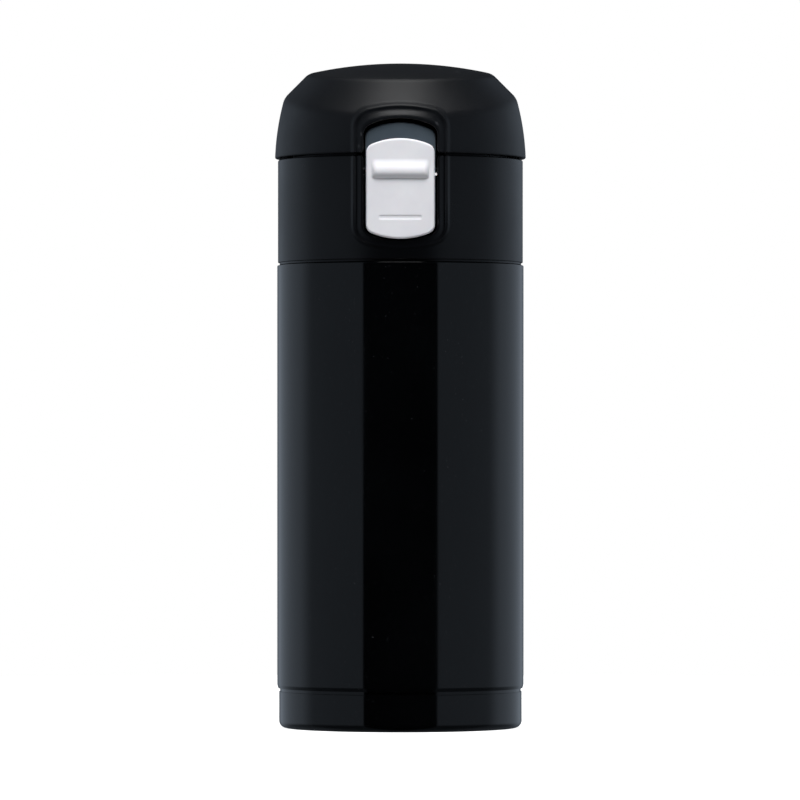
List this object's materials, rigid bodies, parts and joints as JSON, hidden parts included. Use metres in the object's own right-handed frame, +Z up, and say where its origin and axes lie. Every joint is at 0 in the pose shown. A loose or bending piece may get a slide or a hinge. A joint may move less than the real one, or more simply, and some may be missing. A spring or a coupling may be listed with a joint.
{
  "type": "vacuum flask",
  "caption": "Slim black double-walled vacuum flask with a screw-on cap unit, sprung flip lid, front push latch with a white lock slide, and a shallow base cup.",
  "frame": {"origin": "centre of the anti-slip pad's underside, on the plane the flask stands on", "axes": "+Z up the flask's axis, latch at the front towards -Y, hinge at the back towards +Y, +X to the right seen from the front"},
  "size_m": [0.0662, 0.0702, 0.1759],
  "materials": {
    "body_paint": "gloss black enamel",
    "base_paint": "gloss black enamel",
    "flask_steel": "drawn and electropolished stainless steel",
    "solder": "dull solder bead",
    "getter_metal": "sintered grey pill",
    "copper_foil": "bright copper foil",
    "pad_rubber": "matt black",
    "collar_plastic": "satin black moulded plastic",
    "lid_plastic": "satin black, fine moulded grain",
    "liner_plastic": "satin black moulded plastic",
    "spout_plastic": "smooth black moulded plastic",
    "silicone": "translucent grey silicone",
    "button_plastic": "slate grey moulded plastic",
    "slide_plastic": "white moulded plastic, satin gloss",
    "pin_steel": "ground stainless pin",
    "spring_steel": "bright spring wire"
  },
  "bodies": {
    "bottle": {"outer_shell": "body_paint", "inner_flask": "flask_steel", "outer_bottom": "flask_steel", "vacuum_seal": "solder", "getter": "getter_metal", "radiation_foil": "copper_foil", "base_cup": "base_paint", "base_pad": "pad_rubber"},
    "stopper_seal": {"stopper_gasket": "silicone"},
    "cap": {"collar": "collar_plastic", "mouthpiece": "spout_plastic", "spout_gasket": "silicone", "hinge_pin": "pin_steel", "hinge_spring": "spring_steel", "latch_pin": "pin_steel", "latch_spring": "spring_steel"},
    "lid": {"lid_shell": "lid_plastic", "lid_inner": "liner_plastic", "lid_gasket": "silicone"},
    "latch": {"latch_button": "button_plastic"},
    "lock": {"lock_slide": "slide_plastic"}
  },
  "joints": [
    {"name": "cap_lift", "type": "slide", "parent": "bottle", "child": "stopper_seal", "axis": [0, 0, 1], "range_m": [0, 0.006]},
    {"name": "cap_unscrew", "type": "hinge", "parent": "stopper_seal", "child": "cap", "pos_m": [0, 0, 0.1413], "axis": [0, 0, 1], "range_deg": [0, 540]},
    {"name": "lid_open", "type": "hinge", "parent": "cap", "child": "lid", "pos_m": [0, 0.0335, 0.1502], "axis": [-1, 0, 0], "range_deg": [0, 160], "deforming": ["hinge_spring"]},
    {"name": "latch_press", "type": "hinge", "parent": "cap", "child": "latch", "pos_m": [0, -0.0288, 0.1455], "axis": [1, 0, 0], "range_deg": [0, 7], "stiffness_Nm_per_rad": 0.05, "deforming": ["latch_spring"]},
    {"name": "lock_slide", "type": "slide", "parent": "latch", "child": "lock", "axis": [0, 0, 1], "range_m": [0, 0.004]}
  ],
  "couplings": [
    {"joint": "cap_lift", "follows": "cap_unscrew", "m_per_rad": 0.00063662}
  ]
}
